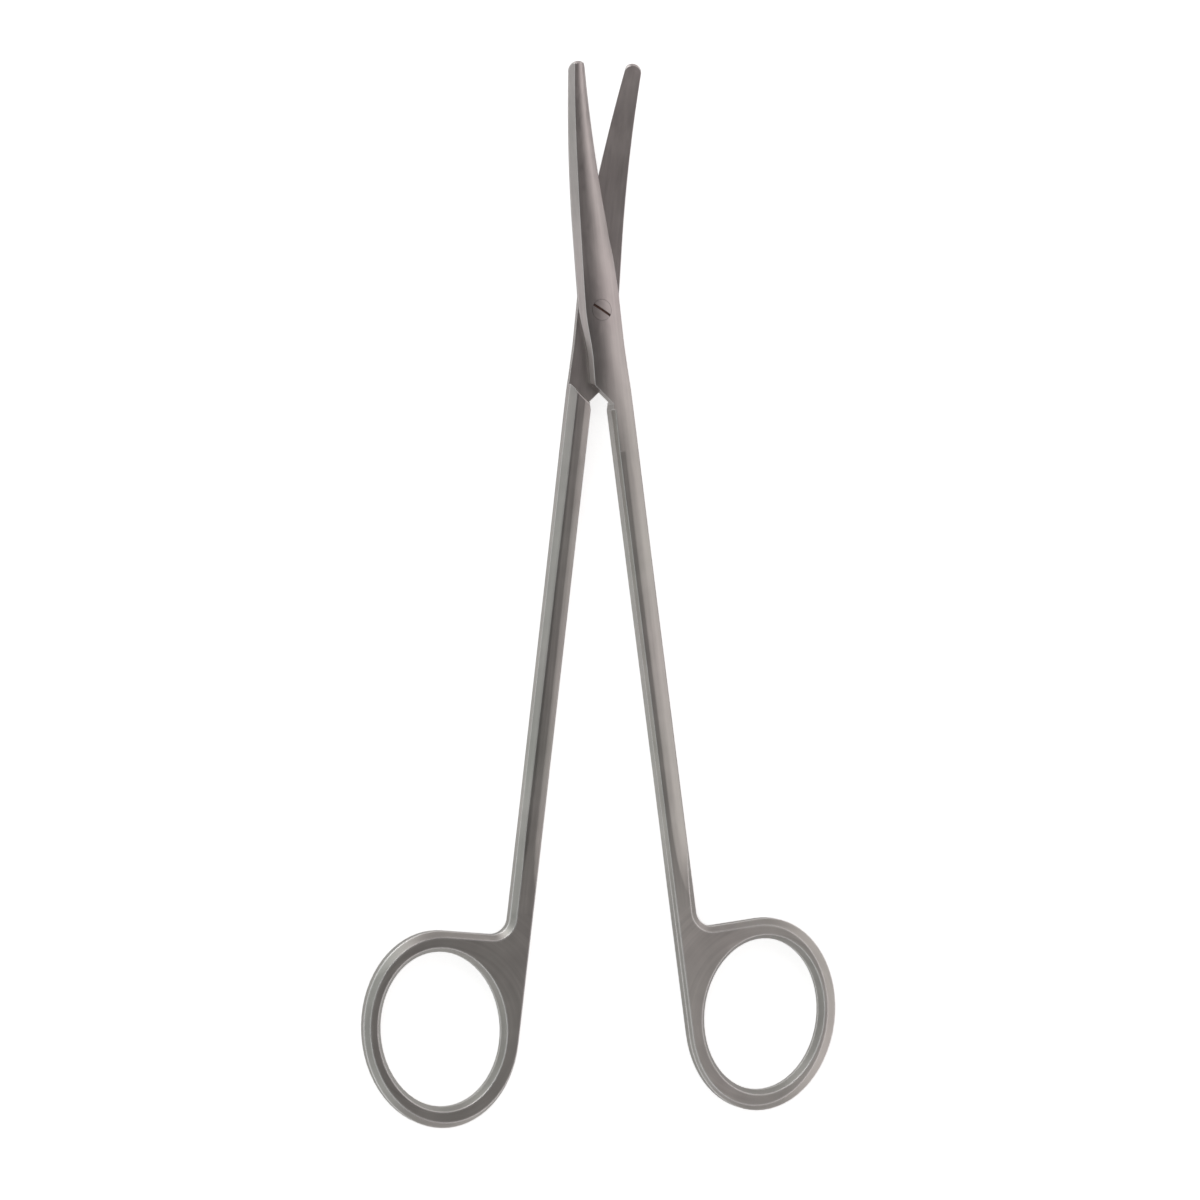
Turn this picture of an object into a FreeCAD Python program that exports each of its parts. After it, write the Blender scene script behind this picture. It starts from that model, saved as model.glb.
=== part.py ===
import FreeCAD, Part
import math
import os

# Dissecting scissors: two forged halves with blades curved on the flat, crossed in a
# lap joint and held by one slotted screw. All sizes are in millimetres and degrees.
# The origin is on the screw's axis, in the plane the scissors lie on. +Y runs to the
# blade tips and +Z is up, so the blades curve upwards.
# Each half is drawn closed on its own lap plane (z = 0), outer face up, with its blade
# spine at -X and its finger ring at +X. The lower half is the same drawing turned over,
# but for its blade, which bends the other way.

# Pose
half_opening = 6.3          # how far each half stands from the closed line at rest

# Blade
blade_reach = 41.6          # screw axis to the tip
bend_start = 12.5           # where the blade begins to curve
bend_radius = 95.0          # its curve on the flat
spine_at_screw = 3.55       # the spine's distance from the centre line
spine_at_tip = 2.1
edge_at_screw = 3.66        # the cutting edge's distance from the centre line
belly_along = 13.7          # where the cutting edge leaves the joint's width
belly_side = 3.25
edge_at_tip = 0.82
tip_radius = 1.42
blade_deep_root = 2.0       # blade thickness at the bend's start
blade_deep_tip = 1.2
edge_deep = 0.75            # thickness beside the cutting edge, at the belly
edge_deep_tip = 0.5         # and at the tip
edge_land = 0.1             # upright foot of the bevel ground along the cutting edge
edge_bevel = 0.36           # how far that bevel leans in
tip_dome_wide = 1.8         # half width and half depth of the dome that rounds the tip
tip_dome_deep = 1.0
crown_top = 0.3             # the crowned faces are highest at this share of their width,
crown_top_shank = 0.06      # and the shank's outer face nearly at its crest
crest_fall_blade = 0.1      # the crest's depth below that, on the blade,
crest_fall_joint = 0.22     # on the joint
crest_fall_lap = 0.06       # and on the shank's lap face
blade_relief = 0.06         # each inner face lies this far behind the lap plane
relief_start = 6.0
relief_run = 6.0
bevel_end = 6.25            # the bevel along the cutting edge has run out here
widest_along = 2.0          # and the joint is widest here

# Lap joint
joint_deep = 2.1            # thickness of each half at the screw
joint_edge = 0.95           # height of the joint's outer side
spine_wall = 0.35           # upright foot of the facet along the spine
lap_wall = 0.75             # and down the lap
facet_lean_tip = 0.8        # how far that facet leans in on its way up, at the tip,
facet_lean_blade = 1.0      # at the middle of the blade,
facet_blade_along = 23.0
facet_lean_screw = 0.68     # by the screw
facet_lean_lap = 0.4        # and down the lap
waist_along = 7.6           # the lap is narrowest here
waist_side = 2.88
lap_corner_along = 12.0     # the slanted end of the lap, from its outer corner
lap_corner_side = 3.02
lap_nose_along = 15.9       # to its nose
lap_nose_side = 0.33
flank_along = 5.0           # the joint's outer side, below the screw
flank_side = 3.64
shoulder_out_along = 12.9   # the step from the lap to the shank's full thickness
shoulder_in_along = 15.9
shoulder_bevel = 0.32       # broken edge at the top of that step

# Shank
shank_start = 16.9
shank_gap = 0.04            # from the centre line to the inner side, at its start
shank_wide_top = 4.0
shank_wide_end = 4.02
shank_blend = 24.0          # where the joint's thickness has run out
handle_deep = 3.0           # thickness of the shank and the ring
side_wall = 1.6             # height of the upright side
inner_facet = 0.42          # lean of the outer face's facet, along the inner side
lap_facet = 1.32            # lean of the lap face's facet, along the outer side
crown_flat = 0.03           # how much the crowned faces are trimmed flat at the top
crown_edge = 0.75           # height at which the outer face's crown meets the side,
crown_edge_along = 48.0     # reached here
lap_edge = 1.3              # height at which the lap face's crown meets the side

# Finger ring
ring_along = 122.4          # centre of the finger hole
ring_side = 15.45
hole_half_wide = 10.47
hole_half_long = 12.94
ring_lean = 12.5            # the hole's long axis leans outwards
ring_wall_side = 3.05
ring_wall_end = 3.55
rim_bevel = 1.08            # width of the bevel round the ring's outer face
rim_shift = 0.63            # it is this much wider on the far side than at the ends
lap_bevel_side = 0.6        # width of the bevel round the ring's lap face
lap_bevel_end = 1.05
lap_bevel_shift = 0.4
hole_bevel = 0.8
hole_wall = 0.6             # height of the hole's upright wall
web_fillet = 2.9            # between the shank and the ring
crown_end = 88.0            # the crowned faces run out into the flat web from here
web_start = 104.0           # to here

# Screw
head_radius = 1.75
seat_height = 0.7           # foot of the head's cone above the lap plane
head_cone = 0.6
screw_radius = 1.15
screw_clearance = 0.04
slot_wide = 0.42
slot_deep = 0.55
slot_turn = -31.0

# How finely the curved faces are drawn
rows_along = 76
rows_across = 22
plan_points = 16
facet_rows = 30

# How far the faces that trim a half run past its outline
overrun = 3.0
facet_overrun = 0.5         # as a share of the facet's width

V = FreeCAD.Vector
X_AXIS, Y_AXIS, Z_AXIS = V(1, 0, 0), V(0, 1, 0), V(0, 0, 1)
ORIGIN = V(0, 0, 0)
REACH = 60.0                # how far solid cutting shapes run past the part
half_deep = handle_deep / 2
half_wall = side_wall / 2


# Helpers

def ease(t):
    """A smooth step from 0 to 1."""
    t = min(max(t, 0.0), 1.0)
    return t * t * (3 - 2 * t)


def along(y, stops):
    """Eases from stop to stop, listed from the tip to the ring."""
    if y >= stops[0][0]:
        return stops[0][1]
    for (y0, v0), (y1, v1) in zip(stops, stops[1:]):
        if y >= y1:
            return v0 + (v1 - v0) * ease((y0 - y) / (y0 - y1))
    return stops[-1][1]


def line_at(y, start, end):
    """x at y on the straight line through two points."""
    return start.x + (end.x - start.x) * (y - start.y) / (end.y - start.y)


def spaced(first, last, count):
    return [first + (last - first) * i / (count - 1) for i in range(count)]


def spline(points):
    curve = Part.BSplineCurve()
    curve.interpolate(points)
    return curve.toShape()


def polygon(points):
    return Part.Face(Part.makePolygon(points + [points[0]]))


def prism(face, low, high):
    """The flat face, drawn at z = 0, filled from low to high."""
    solid = face.extrude(V(0, 0, high - low))
    solid.translate(V(0, 0, low))
    return solid


# The handle's outline: a straight shank that runs tangent into an oval ring

lean = math.radians(ring_lean)
long_way = V(math.sin(lean), math.cos(lean), 0)
wide_way = V(math.cos(lean), -math.sin(lean), 0)
ring_centre = V(ring_side, -ring_along, 0)
shank_top = V(shank_gap, -shank_start, 0)


def oval(half_wide, half_long, centre=ring_centre, z=0.0):
    """An oval whose long axis leans with the ring."""
    middle = V(centre.x, centre.y, z)
    return Part.Ellipse(middle + long_way * half_long, middle - wide_way * half_wide, middle)


def oval_point(half_wide, half_long, centre, normal):
    """The oval's point whose outward normal is the given direction."""
    wide_part = half_wide * half_wide * normal.dot(wide_way)
    long_part = half_long * half_long * normal.dot(long_way)
    size = math.hypot(half_wide * normal.dot(wide_way), half_long * normal.dot(long_way))
    return centre + wide_way * (wide_part / size) + long_way * (long_part / size)


def tangent_from(point, half_wide, half_long, centre):
    """Where a line from a point near the joint touches the oval's inner side."""
    low, high = 0.0, math.pi / 4
    for _ in range(60):
        turn = (low + high) / 2
        normal = V(-math.cos(turn), -math.sin(turn), 0)
        touch = oval_point(half_wide, half_long, centre, normal)
        if (touch - point).dot(normal) > 0:
            high = turn
        else:
            low = turn
    return touch, normal


rim_wide = hole_half_wide + ring_wall_side
rim_long = hole_half_long + ring_wall_end
inner_touch, inner_normal = tangent_from(shank_top, rim_wide, rim_long, ring_centre)
ring_top = oval_point(rim_wide, rim_long, ring_centre, Y_AXIS)
fillet_y = ring_top.y + web_fillet
outer_top = V(line_at(-shank_start, shank_top, inner_touch) + shank_wide_top, -shank_start, 0)
outer_end = V(line_at(fillet_y, shank_top, inner_touch) + shank_wide_end, fillet_y, 0)
fillet_centre = outer_end + V(web_fillet, 0, 0)


def inner_x(y):
    """The shank's inner side."""
    return line_at(y, shank_top, inner_touch)


def outer_x(y):
    """The shank's outer side."""
    return line_at(y, outer_top, outer_end)


def handle_outline(z, side_inset=0, end_inset=0, shift=0, start_in=0, start_out=0):
    """The handle from the joint's end round the ring, drawn in from its true outline."""
    centre = ring_centre - V(shift, 0, 0)
    wide, long = rim_wide - side_inset, rim_long - end_inset
    touch = oval_point(wide, long, centre, inner_normal)
    top = oval_point(wide, long, centre, Y_AXIS)
    level = V(0, 0, z)
    inner_start = V(inner_x(-shank_blend) + start_in, -shank_blend, z)
    outer_start = V(outer_x(-shank_blend) - start_out, -shank_blend, z)
    neck_out = outer_end - V(end_inset, 0, 0) + level
    neck_low = V(fillet_centre.x, top.y, z)
    bend_way = V(-math.sqrt(0.5), -math.sqrt(0.5), 0)
    corner = fillet_centre + bend_way * (web_fillet + end_inset) + level
    ellipse = oval(wide, long, centre, z)
    from_touch = ellipse.parameter(touch + level)
    to_top = ellipse.parameter(top + level)
    if to_top < from_touch:
        to_top += 2 * math.pi
    return Part.Wire([
        Part.LineSegment(inner_start, touch + level).toShape(),
        Part.ArcOfEllipse(ellipse, from_touch, to_top).toShape(),
        Part.LineSegment(top + level, neck_low).toShape(),
        Part.Arc(neck_low, corner, neck_out).toShape(),
        Part.LineSegment(neck_out, outer_start).toShape(),
        Part.LineSegment(outer_start, inner_start).toShape(),
    ])


def build_handle():
    """Shank and ring: upright sides, with a ruled bevel above and below."""
    lap_flat = handle_outline(-half_deep, lap_bevel_side, lap_bevel_end, lap_bevel_shift,
                              start_out=lap_facet)
    top_flat = handle_outline(half_deep, rim_bevel, rim_bevel, rim_shift, start_in=inner_facet)
    walls = [handle_outline(-half_wall), handle_outline(half_wall)]
    return Part.makeLoft([lap_flat, *walls, top_flat], True, True)


def build_finger_hole():
    """The oval hole, flared to both faces."""
    levels = []
    for z in (-half_deep, -hole_wall / 2, hole_wall / 2, half_deep):
        flare = hole_bevel if abs(z) == half_deep else 0.0
        levels.append(Part.Wire(oval(hole_half_wide + flare, hole_half_long + flare, z=z).toShape()))
    return Part.makeLoft(levels, True, True)


# Blade and joint

def spine_x(y):
    """The spine's side of the blade and of the lap."""
    blade = -spine_at_screw + (spine_at_screw - spine_at_tip) * y / blade_reach
    lap = along(y, [(0, -spine_at_screw), (-waist_along, -waist_side),
                    (-lap_corner_along, -lap_corner_side)])
    return blade if y > 0 else lap


def edge_x(y):
    """The cutting edge's side of the blade and the outer side of the joint."""
    tip = blade_reach - tip_radius
    if y > belly_along:
        return belly_side + (edge_at_tip - belly_side) * (y - belly_along) / (tip - belly_along)
    return along(y, [(belly_along, belly_side), (widest_along, edge_at_screw),
                     (-flank_along, flank_side), (-shank_start, outer_top.x)])


def rise(y):
    """Height of the bent blade over the lap plane."""
    past = max(0.0, y - bend_start)
    return past * past / (2 * bend_radius)


def inner_face(y, bend):
    """Height of the blade's flat inner face."""
    return bend * rise(y) + blade_relief * ease((y - relief_start) / relief_run)


def shank_crest(y):
    """Height of a crowned face's ridge, which runs out above the flat web."""
    return along(y, [(-crown_end, half_deep + crown_flat),
                     (-web_start, half_deep + 2 * crown_flat)])


def thickness(y):
    if y > bend_start:
        taper = (blade_deep_root - blade_deep_tip) / (blade_reach - bend_start)
        return blade_deep_root - taper * (y - bend_start)
    joint = [(bend_start, blade_deep_root), (0, joint_deep), (-waist_along, joint_deep)]
    return along(y, joint + [(-shank_blend, shank_crest(y))])


def edge_height(y):
    """How high the crowned face meets the cutting side or the outer side."""
    return along(y, [(blade_reach, edge_deep_tip), (belly_along, edge_deep), (0, joint_edge),
                     (-shank_start, joint_edge), (-crown_edge_along, crown_edge),
                     (-crown_end, crown_edge), (-web_start, half_deep + 2 * crown_flat)])


def facet_lean(y):
    """How far the spine's facet leans in."""
    return along(y, [(blade_reach, facet_lean_tip), (facet_blade_along, facet_lean_blade),
                     (0, facet_lean_screw), (-waist_along, facet_lean_lap)])


def facet_foot(y):
    return along(y, [(bend_start, spine_wall), (-waist_along, lap_wall)])


def crest_x(y):
    """Where the crowned face is highest: along the top of the inner facets."""
    before = spine_x(y) + facet_lean(y)
    facet_top = inner_x(y) + inner_facet
    run = shank_blend - lap_corner_along
    return before + (facet_top - before) * ease((-lap_corner_along - y) / run)


def fall(far, top, crest_fall, edge_fall):
    """How far a crowned face lies below its highest line, from crest (0) to edge (1)."""
    if far < top:
        return crest_fall * (1 - far / top) ** 2
    return edge_fall * ((far - top) / (1 - top)) ** 2


def crown(x, y, bend):
    """The outer face: rising a little from its ridge, then rounding down to the edge."""
    far = (x - crest_x(y)) / (side_at(y) - crest_x(y))
    top = along(y, [(-waist_along, crown_top), (-shank_blend, crown_top_shank)])
    crest_fall = along(y, [(bend_start, crest_fall_blade), (0, crest_fall_joint),
                           (-waist_along, crest_fall_joint), (-shank_blend, 0)])
    level = bend * rise(y) + thickness(y)
    return level - fall(far, top, crest_fall, thickness(y) - edge_height(y))


def side_at(y):
    return edge_x(y) if y > -shank_start else outer_x(y)


def build_outside(bend):
    """All that lies outside the crowned outer face."""
    grid = [[V(x, y, crown(x, y, bend))
             for y in spaced(-web_start - overrun, blade_reach + overrun, rows_along)]
            for x in spaced(-spine_at_screw - overrun, outer_top.x + overrun, rows_across)]
    face = Part.BSplineSurface()
    face.interpolate(grid)
    return face.toShape().extrude(V(0, 0, REACH))


def lap_crown(x, y):
    """The shank's lap face: rising a little from its ridge, then rounding to the inner side."""
    ridge = outer_x(y) - lap_facet
    far = (ridge - x) / (ridge - inner_x(y))
    crest_fall = along(y, [(-crown_end, crest_fall_lap), (-web_start, 0)])
    edge = along(y, [(-crown_end, lap_edge), (-web_start, half_deep + 2 * crown_flat)])
    return fall(far, crown_top, crest_fall, shank_crest(y) - edge) - shank_crest(y)


def build_under_shank():
    """All that lies beyond the shank's crowned lap face."""
    grid = [[V(x, y, lap_crown(x, y))
             for y in spaced(-web_start - overrun, overrun - shoulder_out_along, rows_along)]
            for x in spaced(-overrun, outer_top.x + overrun, rows_across)]
    face = Part.BSplineSurface()
    face.interpolate(grid)
    return face.toShape().extrude(V(0, 0, -REACH))


def build_plan():
    """The blade, the joint and the top of the shank, seen from above."""
    tip = blade_reach - tip_radius
    spine_end = V(spine_x(tip), tip, 0)
    edge_end = V(edge_x(tip), tip, 0)
    spine_start = V(spine_x(0), 0, 0)
    lap_corner = V(-lap_corner_side, -lap_corner_along, 0)
    lap_nose = V(lap_nose_side, -lap_nose_along, 0)
    inner_end = V(inner_x(-shank_blend), -shank_blend, 0)
    outer_blend = V(outer_x(-shank_blend), -shank_blend, 0)
    waist = [V(spine_x(y), y, 0) for y in spaced(0, -lap_corner_along, plan_points // 2)]
    edge = [V(edge_x(y), y, 0) for y in spaced(tip, -shank_start, plan_points)]
    return Part.Face(Part.Wire([
        Part.Arc(spine_end, V((spine_end.x + edge_end.x) / 2, blade_reach, 0), edge_end).toShape(),
        spline(edge),
        Part.LineSegment(outer_top, outer_blend).toShape(),
        Part.LineSegment(outer_blend, inner_end).toShape(),
        Part.LineSegment(inner_end, shank_top).toShape(),
        Part.LineSegment(shank_top, lap_nose).toShape(),
        Part.LineSegment(lap_nose, lap_corner).toShape(),
        spline(waist[::-1]),
        Part.LineSegment(spine_start, spine_end).toShape(),
    ]))


def build_lap_side(bend):
    """All that lies behind the lap plane and the blade's inner face, up to the shoulder."""
    stations = spaced(relief_start, blade_reach + 2 * overrun, facet_rows)
    curve = [V(0, y, inner_face(y, bend)) for y in stations]
    profile = Part.Wire([
        Part.LineSegment(V(0, -REACH, -REACH), V(0, -REACH, 0)).toShape(),
        Part.LineSegment(V(0, -REACH, 0), curve[0]).toShape(),
        spline(curve),
        Part.LineSegment(curve[-1], V(0, curve[-1].y, -REACH)).toShape(),
        Part.LineSegment(V(0, curve[-1].y, -REACH), V(0, -REACH, -REACH)).toShape(),
    ])
    behind = Part.Face(profile).extrude(V(2 * REACH, 0, 0))
    behind.translate(V(-REACH, 0, 0))
    outer = V(outer_x(-shoulder_out_along), -shoulder_out_along, 0)
    inner = V(0, -shoulder_in_along, 0)
    step = (outer - inner).normalize()
    ahead = Z_AXIS.cross(step) * REACH
    above = inner - step * REACH + Z_AXIS * REACH
    foot = inner - step * REACH - Z_AXIS * (half_deep - shoulder_bevel)
    under = foot - ahead - Z_AXIS * REACH
    profile = polygon([above, foot, under, under + ahead * 3, above + ahead * 2])
    return behind.common(profile.extrude(step * (2 * REACH)))


def facet_cutter(feet, tops, side, up):
    """All that lies to the given side of a narrow face, from the lines of its foot and top."""
    grid = [[foot + (top - foot) * share for foot, top in zip(feet, tops)]
            for share in spaced(-facet_overrun, 1 + facet_overrun, 3)]
    face = Part.BSplineSurface()
    face.interpolate(grid)
    return face.toShape().extrude(V(side * overrun, 0, up * overrun))


def build_spine_facet(bend):
    stations = spaced(blade_reach + overrun, -lap_corner_along - overrun, facet_rows)
    feet = [V(spine_x(y), y, inner_face(y, bend) + facet_foot(y)) for y in stations]
    tops = [V(foot.x + facet_lean(foot.y), foot.y, crown(foot.x + facet_lean(foot.y), foot.y, bend))
            for foot in feet]
    return facet_cutter(feet, tops, -1, 1)


def build_edge_bevel(bend):
    """The bevel ground along the cutting edge, which runs out at the joint."""
    feet, tops = [], []
    for y in spaced(blade_reach + overrun, bevel_end, facet_rows):
        lean = along(y, [(belly_along, edge_bevel), (bevel_end, -edge_bevel / 2)])
        feet.append(V(edge_x(y), y, inner_face(y, bend) + edge_land))
        tops.append(V(edge_x(y) - lean, y, crown(edge_x(y) - lean, y, bend)))
    return facet_cutter(feet, tops, 1, 1)


def build_inner_facet():
    """The flat along the shank's inner side, from the lap's nose to the handle."""
    feet = [V(inner_x(y), y, half_wall) for y in (-shank_start, -shank_blend)]
    top = V(inner_facet, 0, half_deep - half_wall)
    return facet_cutter(feet, [foot + top for foot in feet], -1, 1)


def build_lap_facet():
    """The flat along the outer side of the shank's lap face."""
    feet = [V(outer_x(y), y, -half_wall) for y in (0, -shank_blend)]
    top = V(-lap_facet, 0, half_wall - half_deep)
    return facet_cutter(feet, [foot + top for foot in feet], 1, -1)


def build_tip_round(bend):
    """All that lies outside the dome that rounds the blade's tip."""
    profile = Part.Ellipse(ORIGIN, tip_dome_wide, tip_dome_deep)
    half = Part.ArcOfEllipse(profile, -math.pi / 2, math.pi / 2).toShape()
    axis = Part.LineSegment(V(0, tip_dome_deep, 0), V(0, -tip_dome_deep, 0)).toShape()
    dome = Part.Face(Part.Wire([half, axis])).revolve(ORIGIN, Y_AXIS, 360)
    dome.rotate(ORIGIN, X_AXIS, 90)
    block = Part.makeBox(REACH, REACH, REACH, V(-REACH / 2, 0, -REACH / 2))
    outside = block.cut(dome)
    slope = math.degrees(math.atan((blade_reach - bend_start) / bend_radius))
    outside.rotate(ORIGIN, X_AXIS, bend * slope)
    y = blade_reach - tip_dome_wide * math.cos(math.radians(slope))
    middle = V((spine_x(y) + edge_at_tip) / 2, y, bend * rise(y) + thickness(y) / 2)
    outside.translate(middle)
    return outside


def build_half(bend):
    """One forged half. The blade bends outwards with bend 1, inwards with -1."""
    forging = prism(build_plan(), -REACH / 2, REACH / 2).cut(build_lap_side(bend))
    under = Part.makeBox(REACH, REACH, REACH, V(-REACH / 2, -REACH, -REACH - half_deep))
    forging = forging.cut([under, build_spine_facet(bend), build_edge_bevel(bend),
                           build_inner_facet(), build_lap_facet()])
    forging = forging.fuse(build_handle())
    forging = forging.cut([build_outside(bend), build_under_shank(), build_tip_round(bend)])
    return forging.cut(build_finger_hole())


# Screw

def screw_body(grow):
    """The head's cone and rim and the plain shank, as one turned shape."""
    corners = [V(0, 0, -REACH / 4), V(screw_radius + grow, 0, -REACH / 4),
               V(screw_radius + grow, 0, seat_height - grow),
               V(head_radius + grow, 0, seat_height + head_cone - grow),
               V(head_radius + grow, 0, REACH / 4), V(0, 0, REACH / 4)]
    return polygon(corners).revolve(ORIGIN, Z_AXIS, 360)


def turned(shape, angle):
    copy = shape.copy()
    copy.rotate(ORIGIN, Z_AXIS, angle)
    return copy


def turned_over(shape):
    copy = shape.copy()
    copy.rotate(ORIGIN, Y_AXIS, 180)
    return copy


def build_screw():
    screw = screw_body(0).cut([turned(build_outside(1), half_opening),
                               turned(turned_over(build_outside(-1)), -half_opening)])
    slot = Part.makeBox(REACH, slot_wide, REACH,
                        V(-REACH / 2, -slot_wide / 2, crown(0, 0, 1) - slot_deep))
    return screw.cut(turned(slot, slot_turn))


def build_all():
    upper = turned(build_half(1), half_opening).cut(screw_body(screw_clearance))
    lower = turned(turned_over(build_half(-1)), -half_opening)
    lower = lower.cut(Part.makeCylinder(screw_radius, REACH, V(0, 0, -REACH / 2)))
    return {"upper_half": upper, "lower_half": lower, "pivot_screw": build_screw()}


os.makedirs("parts", exist_ok=True)
for name, shape in build_all().items():
    shape.translate(V(0, 0, joint_deep))
    shape.exportStep(f"parts/{name}.step")
    box = shape.BoundBox
    print(f"{name}: {len(shape.Solids)} solid, valid {shape.isValid()}, {shape.Volume:.1f} mm3,",
          f"x {box.XMin:.2f} {box.XMax:.2f}, y {box.YMin:.2f} {box.YMax:.2f},",
          f"z {box.ZMin:.2f} {box.ZMax:.2f}")
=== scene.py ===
import bpy
import math
from mathutils import Matrix, Vector

# Dissecting scissors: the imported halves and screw, finished as satin steel and
# lit and framed as a product shot from above. Lengths are in metres.

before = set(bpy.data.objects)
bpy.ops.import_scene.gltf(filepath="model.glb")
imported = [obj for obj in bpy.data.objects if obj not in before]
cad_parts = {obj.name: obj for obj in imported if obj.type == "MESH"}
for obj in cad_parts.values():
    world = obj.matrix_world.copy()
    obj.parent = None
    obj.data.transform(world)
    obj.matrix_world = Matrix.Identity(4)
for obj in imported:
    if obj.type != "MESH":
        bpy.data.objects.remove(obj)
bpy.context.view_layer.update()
scene = bpy.context.scene
scene.view_settings.view_transform = 'Standard'

mm = 0.001
halfOpening = 6.3                       # degrees each half stands from the centre line
# per half: flatPaintedLight is painted light that lifts the ring's flats and bevelPaintedShade is
# painted shade that darkens its bevels, set apart for each half
halves = {
    'upper_half': {'lean': halfOpening, 'ringAt': (15.45 * mm, -122.4 * mm, 0),
                   'flatPaintedLight': 1.20, 'bevelPaintedShade': 0.76, 'ringRougher': 0.10},
    'lower_half': {'lean': -halfOpening, 'ringAt': (-15.45 * mm, -122.4 * mm, 0),
                   'flatPaintedLight': 0.98, 'bevelPaintedShade': 0.82, 'ringRougher': 0.02},
}
zones = {                               # along each half, and out from the screw's axis
    'Ring': (-86 * mm, -106 * mm),
    'Shank': (-8 * mm, -28 * mm),
    'OffScrew': (1.9 * mm, 2.3 * mm),
}
print('frame loaded:', ', '.join(sorted(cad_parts)))


# small helpers for building node trees

def newTree(name, sockets):
    tree = bpy.data.node_groups.new(name, 'ShaderNodeTree')
    for way, kind, label, value in sockets:
        socket = tree.interface.new_socket(name=label, in_out=way,
                                           socket_type='NodeSocket' + kind)
        if value is not None:
            socket.default_value = value
    return tree


def addNode(tree, kind, at, **settings):
    node = tree.nodes.new('ShaderNode' + kind)
    node.location = at
    for key, value in settings.items():
        setattr(node, key, value)
    return node


def join(tree, *pairs):
    for source, target in pairs:
        tree.links.new(source, target)


def mathNode(tree, at, operation, *values):
    node = addNode(tree, 'Math', at, operation=operation)
    for socket, value in zip(node.inputs, values):
        if isinstance(value, (int, float)):
            socket.default_value = value
        else:
            tree.links.new(value, socket)
    return node.outputs[0]


# how fine each pattern is worked, for all the pieces
pattern = {
    'streakDetail': 3.0, 'streakRoughness': 0.6,
    'cloudDetail': 4.0, 'cloudLow': 0.3, 'cloudHigh': 0.7,
    'grainDetail': 2.0,
    'ringReach': 14 * mm,               # brushing keeps its scale this far from a hole's centre
    'ringFrom': 0.9,                    # share of the ring's mask at which it turns round
    'edgeSamples': 6, 'ridgeSamples': 4,
}


# fine brushing that runs along a half, from stretched noise
def makeBrushing():
    tree = newTree('brushing', [
        ('INPUT', 'Vector', 'Position', None),
        ('INPUT', 'Float', 'Along', None),
        ('INPUT', 'Float', 'Across', None),
        ('OUTPUT', 'Float', 'Streaks', None),
    ])
    start = tree.nodes.new('NodeGroupInput')
    end = tree.nodes.new('NodeGroupOutput')
    scale = addNode(tree, 'CombineXYZ', (0, 0))
    stretch = addNode(tree, 'VectorMath', (180, 0), operation='MULTIPLY')
    streaks = addNode(tree, 'TexNoise', (360, 0))
    streaks.inputs['Scale'].default_value = 1.0
    streaks.inputs['Detail'].default_value = pattern['streakDetail']
    streaks.inputs['Roughness'].default_value = pattern['streakRoughness']
    join(tree, (start.outputs['Across'], scale.inputs['X']),
         (start.outputs['Along'], scale.inputs['Y']),
         (start.outputs['Across'], scale.inputs['Z']),
         (start.outputs['Position'], stretch.inputs[0]), (scale.outputs[0], stretch.inputs[1]),
         (stretch.outputs[0], streaks.inputs['Vector']),
         (streaks.outputs['Fac'], end.inputs['Streaks']))
    return tree


# slow changes of tone and of tint, as handling and cleaning leave them
def makeClouds():
    tree = newTree('clouds', [
        ('INPUT', 'Vector', 'Position', None),
        ('INPUT', 'Float', 'ToneScale', None),
        ('INPUT', 'Float', 'TintScale', None),
        ('OUTPUT', 'Float', 'Tone', None),
        ('OUTPUT', 'Float', 'Tint', None),
    ])
    start = tree.nodes.new('NodeGroupInput')
    end = tree.nodes.new('NodeGroupOutput')
    for label, y in (('Tone', 0), ('Tint', -250)):
        noise = addNode(tree, 'TexNoise', (200, y))
        noise.inputs['Detail'].default_value = pattern['cloudDetail']
        spread = addNode(tree, 'MapRange', (400, y))
        spread.inputs['From Min'].default_value = pattern['cloudLow']
        spread.inputs['From Max'].default_value = pattern['cloudHigh']
        join(tree, (start.outputs['Position'], noise.inputs['Vector']),
             (start.outputs[label + 'Scale'], noise.inputs['Scale']),
             (noise.outputs['Fac'], spread.inputs['Value']),
             (spread.outputs[0], end.inputs[label]))
    return tree


# turns the brushing round the finger hole: distance from its centre, and way round it
def makeRingWay():
    tree = newTree('ringWay', [
        ('INPUT', 'Vector', 'Position', None),
        ('INPUT', 'Vector', 'Centre', None),
        ('INPUT', 'Float', 'Ring', None),
        ('OUTPUT', 'Vector', 'Position', None),
    ])
    start = tree.nodes.new('NodeGroupInput')
    end = tree.nodes.new('NodeGroupOutput')
    offset = addNode(tree, 'VectorMath', (0, 0), operation='SUBTRACT')
    parts = addNode(tree, 'SeparateXYZ', (200, 0))
    polar = addNode(tree, 'CombineXYZ', (700, 0))
    chosen = addNode(tree, 'Mix', (900, 0), data_type='VECTOR')
    join(tree, (start.outputs['Position'], offset.inputs[0]),
         (start.outputs['Centre'], offset.inputs[1]), (offset.outputs[0], parts.inputs[0]))
    across = mathNode(tree, (400, 100), 'MULTIPLY', parts.outputs['X'], parts.outputs['X'])
    square = mathNode(tree, (400, 0), 'MULTIPLY_ADD', parts.outputs['Y'], parts.outputs['Y'],
                      across)
    reach = mathNode(tree, (550, 0), 'SQRT', square)
    angle = mathNode(tree, (400, -150), 'ARCTAN2', parts.outputs['Y'], parts.outputs['X'])
    length = mathNode(tree, (550, -150), 'MULTIPLY', angle, pattern['ringReach'])
    onRing = mathNode(tree, (700, -300), 'GREATER_THAN', start.outputs['Ring'],
                      pattern['ringFrom'])
    join(tree, (reach, polar.inputs['X']), (length, polar.inputs['Y']),
         (parts.outputs['Z'], polar.inputs['Z']), (onRing, chosen.inputs['Factor']),
         (start.outputs['Position'], chosen.inputs['A']), (polar.outputs[0], chosen.inputs['B']),
         (chosen.outputs['Result'], end.inputs['Position']))
    return tree


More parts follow.
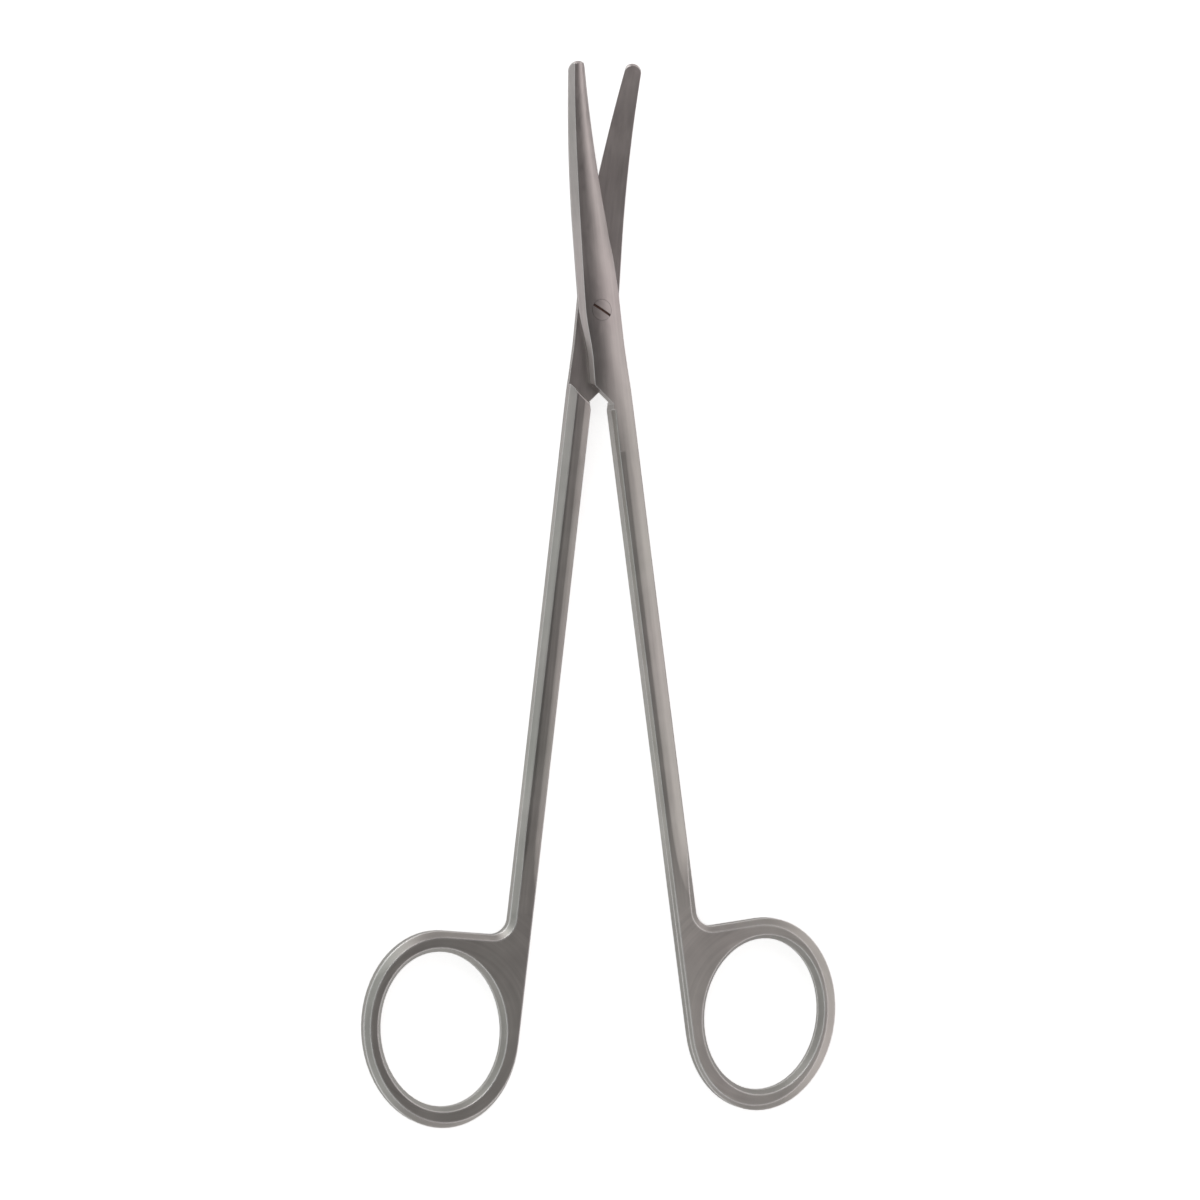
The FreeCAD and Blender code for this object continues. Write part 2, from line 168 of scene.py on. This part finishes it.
# the fine matt grain that bead blasting leaves
def makeBlastGrain():
    tree = newTree('blastGrain', [
        ('INPUT', 'Vector', 'Position', None),
        ('INPUT', 'Float', 'Grain', None),
        ('OUTPUT', 'Float', 'Height', None),
    ])
    start = tree.nodes.new('NodeGroupInput')
    end = tree.nodes.new('NodeGroupOutput')
    grain = addNode(tree, 'TexNoise', (200, 0))
    grain.inputs['Detail'].default_value = pattern['grainDetail']
    join(tree, (start.outputs['Position'], grain.inputs['Vector']),
         (start.outputs['Grain'], grain.inputs['Scale']),
         (grain.outputs['Fac'], end.inputs['Height']))
    return tree


# the normal of a softly rounded edge
def makeSoftEdge():
    tree = newTree('softEdge', [
        ('INPUT', 'Float', 'Width', None),
        ('OUTPUT', 'Vector', 'Normal', None),
    ])
    start = tree.nodes.new('NodeGroupInput')
    end = tree.nodes.new('NodeGroupOutput')
    rounded = addNode(tree, 'Bevel', (0, 0), samples=pattern['edgeSamples'])
    join(tree, (start.outputs['Width'], rounded.inputs['Radius']),
         (rounded.outputs['Normal'], end.inputs['Normal']))
    return tree


# a mask that is 1 on an edge itself, where the painted highlight goes
def makeEdgeHighlightMask():
    tree = newTree('edgeHighlightMask', [
        ('INPUT', 'Float', 'Width', None),
        ('INPUT', 'Float', 'Strength', None),
        ('OUTPUT', 'Float', 'Edge', None),
    ])
    start = tree.nodes.new('NodeGroupInput')
    end = tree.nodes.new('NodeGroupOutput')
    rounded = addNode(tree, 'Bevel', (0, 0), samples=pattern['ridgeSamples'])
    plain = addNode(tree, 'NewGeometry', (0, -200))
    closeness = addNode(tree, 'VectorMath', (200, 0), operation='DOT_PRODUCT')
    join(tree, (start.outputs['Width'], rounded.inputs['Radius']),
         (rounded.outputs['Normal'], closeness.inputs[0]),
         (plain.outputs['Normal'], closeness.inputs[1]))
    edge = mathNode(tree, (400, 0), 'SUBTRACT', 1.0, closeness.outputs['Value'])
    sharp = mathNode(tree, (560, 0), 'MULTIPLY', edge, start.outputs['Strength'])
    limit = addNode(tree, 'Clamp', (720, 0))
    join(tree, (sharp, limit.inputs['Value']), (limit.outputs[0], end.inputs['Edge']))
    return tree


# masks by place: 1 on the finger ring and its web, 1 from the shank on, and 1 away from
# the screw's head
def makePlaces():
    tree = newTree('places', [
        ('INPUT', 'Vector', 'Position', None),
        ('OUTPUT', 'Float', 'Ring', None),
        ('OUTPUT', 'Float', 'Shank', None),
        ('OUTPUT', 'Float', 'OffScrew', None),
    ])
    start = tree.nodes.new('NodeGroupInput')
    end = tree.nodes.new('NodeGroupOutput')
    parts = addNode(tree, 'SeparateXYZ', (0, 0))
    tree.links.new(start.outputs['Position'], parts.inputs[0])
    for label, y in (('Ring', 0), ('Shank', 200)):
        fade = addNode(tree, 'MapRange', (200, y), interpolation_type='SMOOTHSTEP')
        begins, full = zones[label]
        fade.inputs['From Min'].default_value = begins
        fade.inputs['From Max'].default_value = full
        join(tree, (parts.outputs['Y'], fade.inputs['Value']),
             (fade.outputs[0], end.inputs[label]))
    level = addNode(tree, 'VectorMath', (0, -200), operation='MULTIPLY')
    level.inputs[1].default_value = (1, 1, 0)
    reach = addNode(tree, 'VectorMath', (200, -200), operation='LENGTH')
    clear = addNode(tree, 'MapRange', (400, -200))
    near, far = zones['OffScrew']
    clear.inputs['From Min'].default_value = near
    clear.inputs['From Max'].default_value = far
    join(tree, (start.outputs['Position'], level.inputs[0]), (level.outputs[0], reach.inputs[0]),
         (reach.outputs['Value'], clear.inputs['Value']),
         (clear.outputs[0], end.inputs['OffScrew']))
    return tree


groups = {
    'brushing': makeBrushing(), 'clouds': makeClouds(), 'ringWay': makeRingWay(),
    'blastGrain': makeBlastGrain(), 'softEdge': makeSoftEdge(), 'edgeHighlightMask': makeEdgeHighlightMask(),
    'places': makePlaces(),
}
print('node groups ready')


def addGroup(tree, name, at, **values):
    node = addNode(tree, 'Group', at, node_tree=groups[name])
    for key, value in values.items():
        node.inputs[key].default_value = value
    return node


# satin steel, brushed along the half that it is on and round its finger hole
def makeSteel(name, look):
    material = bpy.data.materials.new(name)
    material.use_nodes = True
    tree = material.node_tree
    shader = tree.nodes['Principled BSDF']
    shader.inputs['Metallic'].default_value = 1.0
    place = addNode(tree, 'TexCoord', (-1900, 0))
    turn = addNode(tree, 'Mapping', (-1700, 0))
    turn.inputs['Rotation'].default_value = (0, 0, math.radians(-look['lean']))
    places = addGroup(tree, 'places', (-1500, -200))
    way = addGroup(tree, 'ringWay', (-1300, 100), Centre=look['ringAt'])
    brushing = addGroup(tree, 'brushing', (-1100, 100), Along=look['along'],
                        Across=look['across'])
    clouds = addGroup(tree, 'clouds', (-1300, 350), ToneScale=look['toneScale'],
                      TintScale=look['tintScale'])
    grain = addGroup(tree, 'blastGrain', (-1100, -150), Grain=look['grain'])
    join(tree, (place.outputs['Object'], turn.inputs['Vector']),
         (turn.outputs[0], places.inputs['Position']), (turn.outputs[0], way.inputs['Position']),
         (places.outputs['Ring'], way.inputs['Ring']),
         (way.outputs['Position'], brushing.inputs['Position']),
         (turn.outputs[0], clouds.inputs['Position']),
         (turn.outputs[0], grain.inputs['Position']))

    # edges: rounded more on the shank and ring, and not at all beside the screw
    worked = mathNode(tree, (-1300, -500), 'MULTIPLY_ADD', places.outputs['Shank'],
                      look['shankEdge'] - look['edgeWidth'], look['edgeWidth'])
    rounding = addNode(tree, 'MapRange', (-1100, -500))
    tree.links.new(worked, rounding.inputs['To Min'])
    rounding.inputs['To Max'].default_value = look['ringEdge']
    # the width of the edge mask for the painted highlight, wider on the ring
    ridge = addNode(tree, 'MapRange', (-1100, -750))
    ridge.inputs['To Min'].default_value = look['ridgeWidth']
    ridge.inputs['To Max'].default_value = look['ringRidge']
    edges = addGroup(tree, 'softEdge', (-700, -500))
    ridges = addGroup(tree, 'edgeHighlightMask', (-700, -750), Strength=look['ridgeStrength'])
    clear = places.outputs['OffScrew']
    join(tree, (places.outputs['Ring'], rounding.inputs['Value']),
         (places.outputs['Ring'], ridge.inputs['Value']),
         (mathNode(tree, (-900, -500), 'MULTIPLY', rounding.outputs[0], clear),
          edges.inputs['Width']),
         (mathNode(tree, (-900, -750), 'MULTIPLY', ridge.outputs[0], clear),
          ridges.inputs['Width']))

    # colour: dark to pale with the brushing and clouds, then the tint, which is warm on the
    # blades and joint and greener from the shank on
    streaky = mathNode(tree, (-900, 250), 'MULTIPLY', brushing.outputs['Streaks'],
                       look['streakTone'])
    mixed = mathNode(tree, (-750, 250), 'MULTIPLY_ADD', clouds.outputs['Tone'], look['cloudTone'],
                     streaky)
    tone = addNode(tree, 'Mix', (-600, 300), data_type='RGBA')
    tone.inputs['A'].default_value = look['dark']
    tone.inputs['B'].default_value = look['pale']
    drift = mathNode(tree, (-1000, 500), 'MULTIPLY', clouds.outputs['Tint'],
                     1 - look['shankShare'])
    olive = mathNode(tree, (-800, 500), 'MULTIPLY_ADD', places.outputs['Shank'],
                     look['shankShare'], drift)
    tint = addNode(tree, 'Mix', (-600, 550), data_type='RGBA')
    tint.inputs['A'].default_value = look['warmTint']
    tint.inputs['B'].default_value = look['oliveTint']
    tinted = addNode(tree, 'VectorMath', (-400, 400), operation='MULTIPLY')
    tintedWithPaintedLight = addNode(tree, 'VectorMath', (-250, 400), operation='SCALE')

    # painted light and shade on the ring: its flats are made lighter and its bevels darker by the
    # upward part of the normal, and a painted highlight puts the edges in a pale colour
    flat = addNode(tree, 'NewGeometry', (-1100, 600))
    slope = addNode(tree, 'SeparateXYZ', (-950, 600))
    slopePaintedLight = addNode(tree, 'MapRange', (-800, 600), interpolation_type='SMOOTHSTEP')
    slopePaintedLight.inputs['From Min'].default_value = look['bevelSlope']
    slopePaintedLight.inputs['From Max'].default_value = look['flatSlope']
    slopePaintedLight.inputs['To Min'].default_value = look['bevelPaintedShade'] - 1
    slopePaintedLight.inputs['To Max'].default_value = look['flatPaintedLight'] - 1
    join(tree, (flat.outputs['Normal'], slope.inputs[0]),
         (slope.outputs['Z'], slopePaintedLight.inputs['Value']))
    level = mathNode(tree, (-400, 150), 'MULTIPLY_ADD', places.outputs['Ring'],
                     slopePaintedLight.outputs[0], 1.0)
    # painted highlight: the edges and ridges are mixed towards a pale colour by the edge mask
    paintedEdgeHighlight = addNode(tree, 'Mix', (-100, 300), data_type='RGBA')
    paintedEdgeHighlight.inputs['B'].default_value = look['edgeHighlightColour']
    join(tree, (mixed, tone.inputs['Factor']), (olive, tint.inputs['Factor']),
         (tone.outputs['Result'], tinted.inputs[0]), (tint.outputs['Result'], tinted.inputs[1]),
         (tinted.outputs[0], tintedWithPaintedLight.inputs[0]), (level, tintedWithPaintedLight.inputs['Scale']),
         (tintedWithPaintedLight.outputs[0], paintedEdgeHighlight.inputs['A']), (ridges.outputs['Edge'], paintedEdgeHighlight.inputs['Factor']),
         (paintedEdgeHighlight.outputs['Result'], shader.inputs['Base Color']))

    # sheen and fine relief
    base = mathNode(tree, (-600, 0), 'MULTIPLY_ADD', places.outputs['Ring'], look['ringRougher'],
                    look['rough'] - look['roughSpread'])
    rough = mathNode(tree, (-400, 0), 'MULTIPLY_ADD', mixed, 2 * look['roughSpread'], base)
    height = mathNode(tree, (-600, -250), 'MULTIPLY_ADD', brushing.outputs['Streaks'],
                      look['streakShare'], grain.outputs['Height'])
    bump = addNode(tree, 'Bump', (-400, -250))
    bump.inputs['Strength'].default_value = look['bump']
    bump.inputs['Distance'].default_value = look['bumpDepth']
    join(tree, (rough, shader.inputs['Roughness']), (height, bump.inputs['Height']),
         (edges.outputs['Normal'], bump.inputs['Normal']),
         (bump.outputs[0], shader.inputs['Normal']))
    return material


steelLook = {
    'along': 45.0, 'across': 1700.0,        # brushing: noise cells per metre
    'toneScale': 170.0, 'tintScale': 45.0, 'grain': 7000.0,
    'edgeWidth': 0.16 * mm, 'shankEdge': 0.42 * mm, 'ringEdge': 0.28 * mm,
    'ridgeWidth': 0.16 * mm, 'ringRidge': 0.48 * mm, 'ridgeStrength': 40.0,
    'bevelSlope': 0.86, 'flatSlope': 0.97,  # upward part of the normal, on bevels and on flats, where the ring's painted shade turns to painted light
    'dark': (0.425, 0.413, 0.409, 1), 'pale': (0.68, 0.659, 0.65, 1),
    'streakTone': 0.75, 'cloudTone': 0.3,
    'warmTint': (1.03, 0.965, 0.972, 1), 'oliveTint': (0.975, 1.0, 0.952, 1), 'shankShare': 0.5,
    # the pale colour of the painted highlight on edges and ridges
    'edgeHighlightColour': (0.94, 0.93, 0.92, 1),
    'rough': 0.36, 'roughSpread': 0.05,
    'bump': 0.35, 'bumpDepth': 0.01 * mm, 'streakShare': 0.9,
}


def dressNode(nodeName, material):
    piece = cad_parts[nodeName]
    piece.data.materials.clear()
    piece.data.materials.append(material)


for nodeName, half in halves.items():
    dressNode(nodeName, makeSteel(nodeName + 'Steel', {**steelLook, **half}))
screwLook = {
    **steelLook, **halves['upper_half'], 'rough': 0.34,
    'lean': 59.0,                                       # the slot's direction
    # painted shade for the screw's slot: its dark colour, its half-width and the height it
    # reaches up to
    'slotShade': (0.24, 0.15, 0.12, 1), 'slotShadeSide': 0.21 * mm, 'slotShadeTop': 4.0 * mm,
}
screwSteel = makeSteel('screwSteel', screwLook)
dressNode('pivot_screw', screwSteel)


# painted shade: the bottom of the screw's slot is made dark brown and not metallic
def paintSlotShade(material, look):
    tree = material.node_tree
    shader = tree.nodes['Principled BSDF']
    place = addNode(tree, 'TexCoord', (-1300, 700))
    turn = addNode(tree, 'Mapping', (-1120, 700))
    turn.inputs['Rotation'].default_value = (0, 0, math.radians(-look['lean']))
    parts = addNode(tree, 'SeparateXYZ', (-900, 700))
    join(tree, (place.outputs['Object'], turn.inputs['Vector']),
         (turn.outputs[0], parts.inputs[0]))
    aside = mathNode(tree, (-700, 800), 'ABSOLUTE', parts.outputs['X'])
    inside = mathNode(tree, (-500, 800), 'LESS_THAN', aside, look['slotShadeSide'])
    below = mathNode(tree, (-500, 650), 'LESS_THAN', parts.outputs['Z'], look['slotShadeTop'])
    inSlotShade = mathNode(tree, (-300, 700), 'MULTIPLY', inside, below)
    colour = addNode(tree, 'Mix', (-100, 600), data_type='RGBA')
    colour.inputs['B'].default_value = look['slotShade']
    steel = shader.inputs['Base Color'].links[0].from_socket
    outsideSlotShade = mathNode(tree, (-100, 800), 'SUBTRACT', 1.0, inSlotShade)
    join(tree, (inSlotShade, colour.inputs['Factor']), (steel, colour.inputs['A']),
         (colour.outputs['Result'], shader.inputs['Base Color']),
         (outsideSlotShade, shader.inputs['Metallic']))


paintSlotShade(screwSteel, screwLook)
print('steel on', len(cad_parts), 'pieces')


# the white ground, which shows white to the camera and keeps a faint shadow
ground = {'size': 3.0, 'glow': 0.72, 'reflected': 0.26, 'colour': (0.85, 0.85, 0.85, 1)}


def makeGround():
    bpy.ops.object.select_all(action='DESELECT')
    bpy.ops.mesh.primitive_plane_add(size=ground['size'], location=(0, 0, 0))
    floor = bpy.context.active_object
    floor.name = 'ground'
    material = bpy.data.materials.new('groundWhite')
    material.use_nodes = True
    tree = material.node_tree
    shader = tree.nodes['Principled BSDF']
    shader.inputs['Base Color'].default_value = ground['colour']
    shader.inputs['Roughness'].default_value = 1.0
    shader.inputs['Specular IOR Level'].default_value = 0.0
    rays = addNode(tree, 'LightPath', (-600, 0))
    glow = mathNode(tree, (-400, 0), 'MULTIPLY', rays.outputs['Is Glossy Ray'],
                    ground['reflected'])
    glow = mathNode(tree, (-200, 0), 'MULTIPLY_ADD', rays.outputs['Is Camera Ray'],
                    ground['glow'], glow)
    shader.inputs['Emission Color'].default_value = (1, 1, 1, 1)
    join(tree, (glow, shader.inputs['Emission Strength']))
    floor.data.materials.append(material)


makeGround()

# a tent of light: a broad window on the right, a pale wall on the left, dark overhead
sky = {
    'overhead': 0.03, 'end': 0.55,          # light from above, and more of it from +-Y
    'right': 1.6, 'rightPower': 2.4, 'rightFade': 0.85, 'rightEdge': 0.87, 'rightGone': 0.985,
    'left': 0.54, 'leftFrom': 0.18, 'leftFull': 0.52,
    'lamp': 1.8, 'lampFrom': (-0.33, 0.815, 0.477), 'lampEdge': 0.93, 'lampFull': 0.985,
    'cool': (0.97, 1.0, 0.985, 1), 'warm': (1.0, 0.942, 0.934, 1),
}


def rampNode(tree, at, value, start, full, height):
    ramp = addNode(tree, 'MapRange', at, interpolation_type='SMOOTHSTEP')
    ramp.inputs['From Min'].default_value = start
    ramp.inputs['From Max'].default_value = full
    ramp.inputs['To Max'].default_value = height
    tree.links.new(value, ramp.inputs['Value'])
    return ramp.outputs[0]


def makeSky():
    world = bpy.data.worlds.new('lightTent')
    scene.world = world
    world.use_nodes = True
    tree = world.node_tree
    backdrop = tree.nodes['Background']
    place = addNode(tree, 'TexCoord', (-1400, 0))
    parts = addNode(tree, 'SeparateXYZ', (-1200, 0))
    lamp = addNode(tree, 'VectorMath', (-1200, -400), operation='DOT_PRODUCT')
    lamp.inputs[1].default_value = sky['lampFrom']
    join(tree, (place.outputs['Generated'], parts.inputs[0]),
         (place.outputs['Generated'], lamp.inputs[0]))
    leftward = mathNode(tree, (-1000, 0), 'MULTIPLY', parts.outputs['X'], -1.0)
    rightward = mathNode(tree, (-1000, 150), 'MAXIMUM', parts.outputs['X'], 0.0)
    window = mathNode(tree, (-800, 150), 'POWER', rightward, sky['rightPower'])
    endways = mathNode(tree, (-800, -150), 'POWER', parts.outputs['Y'], 2.0)
    wall = rampNode(tree, (-800, 0), leftward, sky['leftFrom'], sky['leftFull'],
                    sky['left'] - sky['overhead'])
    glint = rampNode(tree, (-800, -400), lamp.outputs['Value'], sky['lampEdge'],
                     sky['lampFull'], sky['lamp'])
    fade = rampNode(tree, (-800, 300), rightward, sky['rightEdge'], sky['rightGone'],
                    sky['rightFade'])
    window = mathNode(tree, (-600, 200), 'SUBTRACT', window, fade)
    light = mathNode(tree, (-600, -150), 'MULTIPLY_ADD', endways, sky['end'], sky['overhead'])
    light = mathNode(tree, (-400, -50), 'MULTIPLY_ADD', window, sky['right'] - sky['overhead'],
                     light)
    light = mathNode(tree, (-200, 0), 'ADD', light, wall)
    light = mathNode(tree, (0, 0), 'ADD', light, glint)
    rays = addNode(tree, 'LightPath', (-200, 300))
    white = mathNode(tree, (200, 100), 'MAXIMUM', light, rays.outputs['Is Camera Ray'])
    tint = addNode(tree, 'Mix', (0, 300), data_type='RGBA')
    tint.inputs['A'].default_value = sky['warm']
    tint.inputs['B'].default_value = sky['cool']
    cool = rampNode(tree, (-400, 300), leftward, 0.0, sky['leftFull'], 1.0)
    plain = mathNode(tree, (-200, 500), 'MAXIMUM', cool, rays.outputs['Is Camera Ray'])
    join(tree, (plain, tint.inputs['Factor']), (tint.outputs['Result'], backdrop.inputs['Color']),
         (white, backdrop.inputs['Strength']))


makeSky()

# camera
shot = {
    'target': (0.0 * mm, -48.80 * mm, 2.10 * mm),       # seen at the picture's centre
    'place': (-239.38 * mm, -39.80 * mm, 659.95 * mm),
    'lens': 124.5,
    'upright': (0.01056, 0.99990, -0.00984),
}


def makeCamera():
    data = bpy.data.cameras.new('shot')
    data.lens = shot['lens']
    camera = bpy.data.objects.new('shot', data)
    scene.collection.objects.link(camera)
    back = (Vector(shot['place']) - Vector(shot['target'])).normalized()
    upright = Vector(shot['upright'])
    right = upright.cross(back).normalized()
    upright = back.cross(right)
    camera.matrix_world = (Matrix.Translation(shot['place'])
                           @ Matrix((right, upright, back)).transposed().to_4x4())
    scene.camera = camera


makeCamera()
print('ground, light and camera set')
